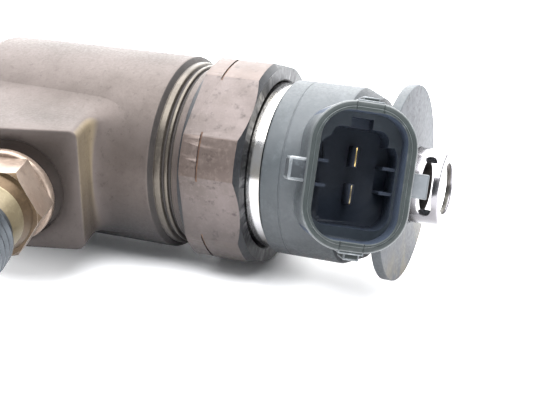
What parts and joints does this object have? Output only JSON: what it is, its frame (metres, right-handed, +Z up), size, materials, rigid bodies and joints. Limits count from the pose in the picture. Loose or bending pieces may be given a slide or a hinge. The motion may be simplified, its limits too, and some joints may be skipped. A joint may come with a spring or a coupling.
{
  "type": "diesel fuel injector",
  "caption": "Solenoid common-rail injector: turned body with side pressure inlet, hex clamping nut, plastic head with angled plug socket and disc flange, return sleeve, long nozzle.",
  "frame": {"origin": "centre of the seat face of the copper sealing washer, on the injector's axis", "axes": "+X along the axis from the nozzle to the head, +Z up as it lies, high-pressure inlet to -Y"},
  "size_m": [0.1842, 0.0619, 0.0328],
  "materials": {
    "body_steel": "matt brown-grey heat-treated steel",
    "nut_steel": "machined steel with a brown film",
    "inlet_steel": "yellow-brown passivated steel",
    "ground_steel": "ground and lapped steel",
    "spring_steel": "drawn spring wire",
    "bright_metal": "mirror-bright plated metal",
    "head_plastic": "dark slate glass-filled plastic",
    "bobbin_plastic": "natural plastic",
    "pin_gold": "gold-plated brass",
    "copper": "soft copper",
    "seal_rubber": "black rubber"
  },
  "bodies": {
    "injector": {"injector_body": "body_steel", "nozzle_body": "body_steel", "nozzle_retaining_nut": "nut_steel", "solenoid_nut": "nut_steel", "pressure_inlet_fitting": "inlet_steel", "inlet_edge_filter": "ground_steel", "solenoid_can": "bright_metal", "magnet_core": "ground_steel", "coil_bobbin": "bobbin_plastic", "coil_winding": "copper", "solenoid_o_ring": "seal_rubber", "connector_head": "head_plastic", "terminal_pin_1": "pin_gold", "terminal_pin_2": "pin_gold", "return_sleeve": "bright_metal", "solenoid_spring": "spring_steel", "solenoid_spring_shim": "ground_steel", "armature_spring": "spring_steel", "armature_guide": "ground_steel", "valve_screw": "ground_steel", "lift_setting_ring": "ground_steel", "valve_piece": "ground_steel", "valve_seal_ring": "seal_rubber", "nozzle_spring": "spring_steel", "nozzle_spring_shim": "ground_steel", "nozzle_dowel_1": "ground_steel", "nozzle_dowel_2": "ground_steel", "sealing_washer": "copper"},
    "needle_train": {"nozzle_needle": "ground_steel", "pressure_pin": "ground_steel", "control_piston": "ground_steel"},
    "armature": {"armature_pin": "ground_steel", "armature_washer": "spring_steel", "ball_holder": "ground_steel", "valve_ball": "bright_metal"},
    "plate": {"armature_plate": "ground_steel"}
  },
  "joints": [
    {"name": "needle_lift", "type": "slide", "parent": "injector", "child": "needle_train", "axis": [1, 0, 0], "range_m": [0, 0.00025], "stiffness_N_per_m": 2000},
    {"name": "valve_lift", "type": "slide", "parent": "injector", "child": "armature", "axis": [1, 0, 0], "range_m": [0, 0.00006], "stiffness_N_per_m": 1000},
    {"name": "plate_overtravel", "type": "slide", "parent": "armature", "child": "plate", "axis": [-1, 0, 0], "range_m": [0, 0.00004], "stiffness_N_per_m": 500}
  ]
}
